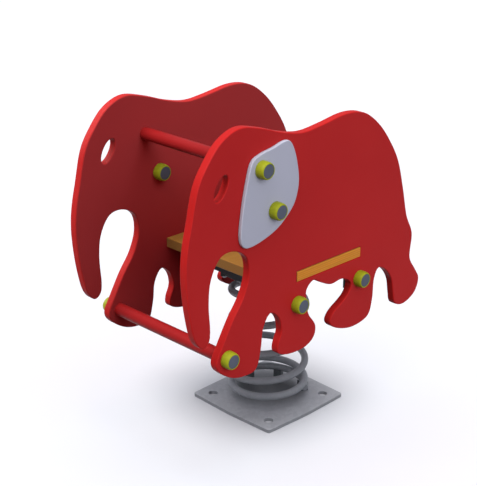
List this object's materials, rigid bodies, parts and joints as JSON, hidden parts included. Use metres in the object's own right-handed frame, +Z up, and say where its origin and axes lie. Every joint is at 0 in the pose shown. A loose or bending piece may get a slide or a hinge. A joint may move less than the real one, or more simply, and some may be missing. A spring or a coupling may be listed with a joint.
{
  "type": "spring rider",
  "caption": "Playground spring rider: elephant-shaped side panels with ears, a seat board, a hand bar and a foot bar, carried on a coil spring with a square bolt-down base plate.",
  "frame": {"origin": "centre of the base plate's underside, on the spring's axis", "axes": "+X forward, the way the rider faces; +Y to the rider's left; +Z up along the spring's axis"},
  "size_m": [0.888, 0.506, 0.9019],
  "materials": {
    "galvanised": "dull zinc-grey coat",
    "fastener_steel": "zinc-plated",
    "frame_black": "black powder coat",
    "seat_wood": "golden varnish",
    "panel_red": "satin board with rounded edges",
    "ear_grey": "satin board with rounded edges",
    "bar_red": "red powder coat",
    "cap_yellow": "moulded",
    "lid_grey": "moulded"
  },
  "bodies": {
    "base": {"base_plate": "galvanised", "base_pads": "galvanised", "base_packer": "galvanised", "base_clamp": "galvanised", "base_clamp_bolts": "fastener_steel"},
    "spring": {"coil_spring": "galvanised"},
    "rider": {"head_clamps": "frame_black", "head_clamp_bolts": "fastener_steel", "head_clamp_nuts": "fastener_steel", "head_plate": "frame_black", "head_plate_bolts": "fastener_steel", "head_plate_nuts": "fastener_steel", "front_rail": "frame_black", "rear_rail": "frame_black", "seat_board": "seat_wood", "seat_bolts": "fastener_steel", "left_panel": "panel_red", "right_panel": "panel_red", "left_ear": "ear_grey", "right_ear": "ear_grey", "hand_bar": "bar_red", "hand_bar_plugs": "fastener_steel", "foot_bar": "bar_red", "foot_bar_plugs": "fastener_steel", "hand_bar_bolts": "fastener_steel", "foot_bar_bolts": "fastener_steel", "ear_bolts": "fastener_steel", "ear_nuts": "fastener_steel", "frame_bolts": "fastener_steel", "frame_nuts": "fastener_steel", "bolt_washers": "fastener_steel", "left_cap_rings": "cap_yellow", "right_cap_rings": "cap_yellow", "left_cap_lids": "lid_grey", "right_cap_lids": "lid_grey"}
  },
  "joints": [
    {"name": "fore_aft_rock", "type": "hinge", "parent": "base", "child": "spring", "pos_m": [0, 0, 0.14], "axis": [0, 1, 0], "range_deg": [-20, 20], "stiffness_Nm_per_rad": 750, "springref_deg": -1.95, "deforming": ["coil_spring"]},
    {"name": "side_rock", "type": "hinge", "parent": "spring", "child": "rider", "pos_m": [0, 0, 0.28], "axis": [1, 0, 0], "range_deg": [-15, 15], "stiffness_Nm_per_rad": 650, "deforming": ["coil_spring"]}
  ]
}
